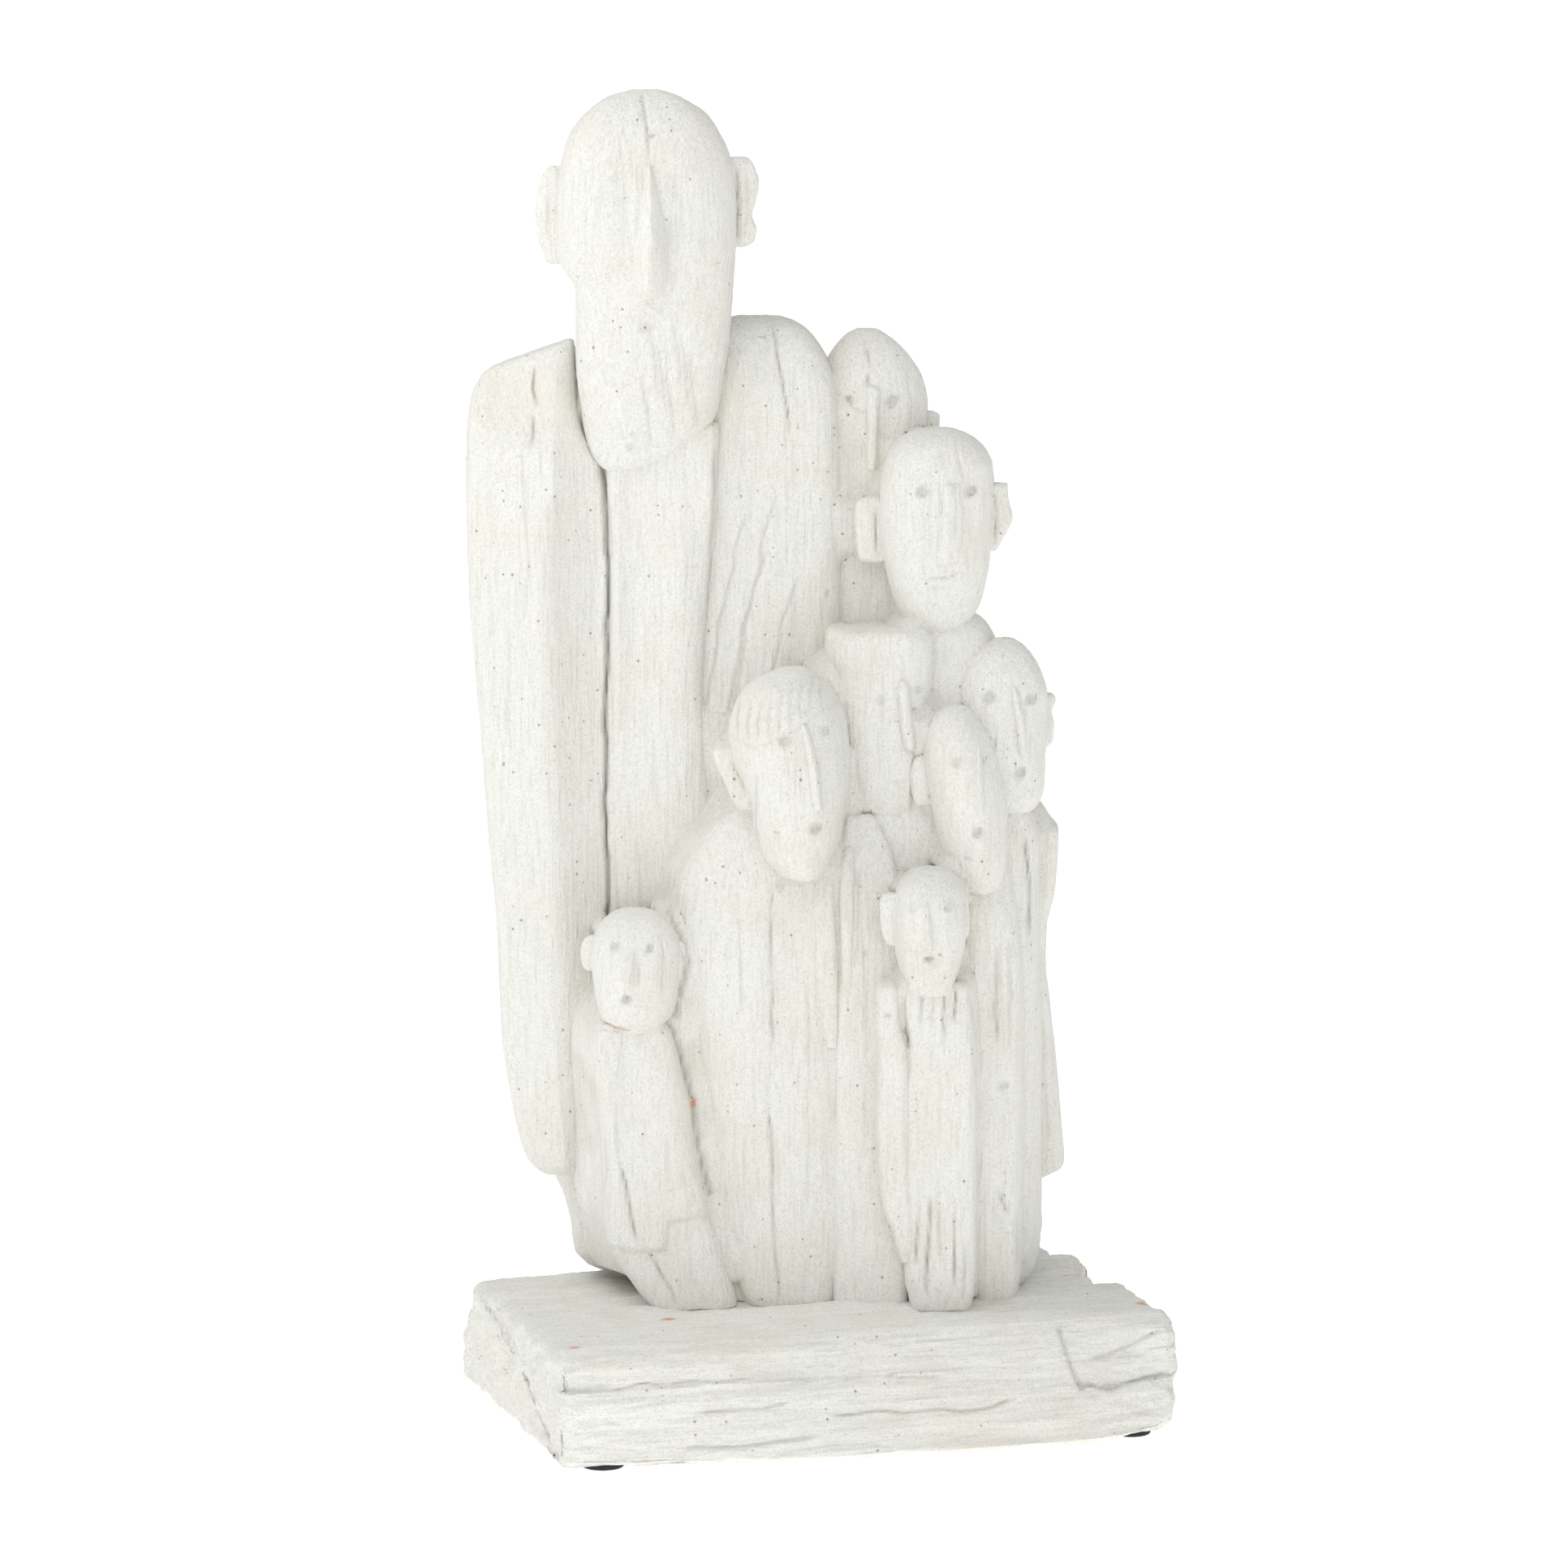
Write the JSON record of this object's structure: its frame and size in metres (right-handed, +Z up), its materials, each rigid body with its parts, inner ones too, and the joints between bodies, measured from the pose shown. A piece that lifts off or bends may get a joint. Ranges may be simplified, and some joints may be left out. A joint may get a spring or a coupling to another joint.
{
  "type": "figure group statuette",
  "caption": "White textured statuette of a close family group of upright board-like figures with long faces, on a thick worn plinth with rubber pads",
  "frame": {"origin": "on the ground under the middle of the statuette, at the bottom centre of its bounding box", "axes": "+Z up, +X along the plinth to the right as seen from the front, -Y is the front"},
  "size_m": [0.1924, 0.1369, 0.4005],
  "materials": {
    "coated_resin": "cast resin under a white, chalky, sandy coat",
    "coated_resin_plinth": "the same cast resin and white sandy coat, with long horizontal grain",
    "pad_rubber": "matt black rubber"
  },
  "bodies": {
    "root": {"figure_group": "coated_resin", "plinth": "coated_resin_plinth", "pad_front_left": "pad_rubber", "pad_front_right": "pad_rubber", "pad_back_left": "pad_rubber", "pad_back_right": "pad_rubber"}
  },
  "joints": []
}
